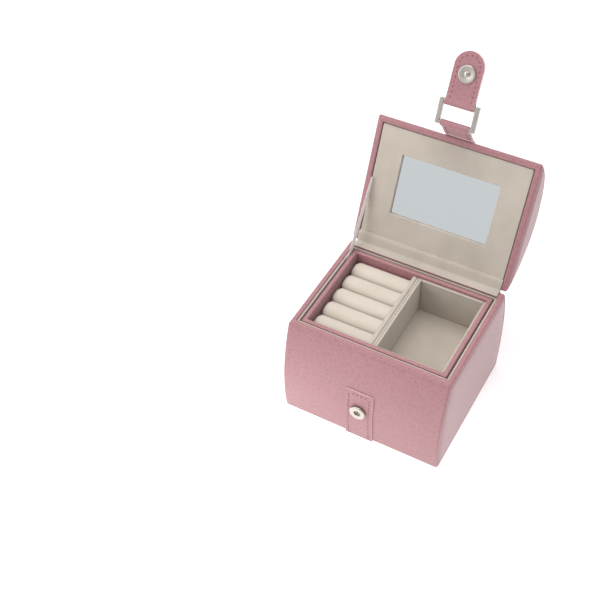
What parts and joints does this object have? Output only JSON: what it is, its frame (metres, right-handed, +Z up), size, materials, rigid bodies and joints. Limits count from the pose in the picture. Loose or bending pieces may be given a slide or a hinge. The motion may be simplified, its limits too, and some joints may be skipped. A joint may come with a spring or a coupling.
{
  "type": "leather jewellery case",
  "caption": "Small box-shaped jewellery case with a domed mirror lid, a lift-out tray of ring rolls beside an open compartment, and a buckled snap strap.",
  "frame": {"origin": "centre of the base's underside, on the surface that the case stands on", "axes": "+X to the case's right seen from the front, +Y to its back, +Z up; the snap faces -Y"},
  "size_m": [0.1, 0.1332, 0.1929],
  "materials": {
    "leatherette": "fine pebble grain leatherette, satin",
    "board": "grey greyboard, matt",
    "velvet_beige": "short-pile velvet on card, matt",
    "velvet_cream": "short-pile velvet over foam, matt",
    "satin_ribbon": "woven satin ribbon",
    "satin_nickel": "satin nickel plate",
    "mirror": "silvered glass"
  },
  "bodies": {
    "case": {"base_board": "board", "front_board": "board", "back_board": "board", "left_board": "board", "right_board": "board", "base_cover": "leatherette", "front_cover": "leatherette", "back_cover": "leatherette", "left_cover": "leatherette", "right_cover": "leatherette", "body_rim": "leatherette", "front_lining": "velvet_beige", "back_lining": "velvet_beige", "left_lining": "velvet_beige", "right_lining": "velvet_beige", "left_ledge": "velvet_beige", "right_ledge": "velvet_beige", "floor_pad": "velvet_beige", "closure_patch": "leatherette", "snap_socket": "satin_nickel", "socket_rivet": "satin_nickel", "hinge_spine": "leatherette", "hinge_lining": "velvet_beige", "lid_stay": "satin_ribbon"},
    "lid": {"lid_crown_board": "board", "lid_left_board": "board", "lid_right_board": "board", "lid_cover": "leatherette", "lid_left_cover": "leatherette", "lid_right_cover": "leatherette", "lid_rim": "leatherette", "lid_panel": "velvet_beige", "mirror": "mirror", "mirror_backing": "board", "strap_anchor": "leatherette"},
    "loop": {"strap_loop": "leatherette"},
    "ring": {"strap_ring": "satin_nickel"},
    "tab": {"strap_tab": "leatherette", "snap_stud": "satin_nickel", "stud_washer": "satin_nickel"},
    "tray": {"tray_front_board": "board", "tray_back_board": "board", "tray_left_board": "board", "tray_right_board": "board", "tray_floor_board": "board", "tray_cover": "leatherette", "tray_base_cover": "leatherette", "tray_divider": "velvet_beige", "compartment_lining": "velvet_beige", "roll_bed": "velvet_cream", "ring_roll_1": "velvet_cream", "ring_roll_2": "velvet_cream", "ring_roll_3": "velvet_cream", "ring_roll_4": "velvet_cream", "ring_roll_5": "velvet_cream"}
  },
  "joints": [
    {"name": "lid_hinge", "type": "hinge", "parent": "case", "child": "lid", "pos_m": [0, 0.0395, 0.068], "axis": [-1, 0, 0], "range_deg": [-113, 0], "deforming": ["hinge_spine", "hinge_lining", "lid_stay"]},
    {"name": "loop_flex", "type": "hinge", "parent": "lid", "child": "loop", "pos_m": [0, 0.07122, 0.14144], "axis": [-1, 0, 0], "range_deg": [-2.56, 30]},
    {"name": "ring_swing", "type": "hinge", "parent": "loop", "child": "ring", "pos_m": [0, 0.06238, 0.15454], "axis": [-1, 0, 0], "range_deg": [-68.73, 30]},
    {"name": "tab_swing", "type": "hinge", "parent": "ring", "child": "tab", "pos_m": [0, 0.06679, 0.16603], "axis": [-1, 0, 0], "range_deg": [-20, 30]},
    {"name": "tray_lift", "type": "slide", "parent": "case", "child": "tray", "axis": [0, 0, 1], "range_m": [0, 0.07]}
  ]
}
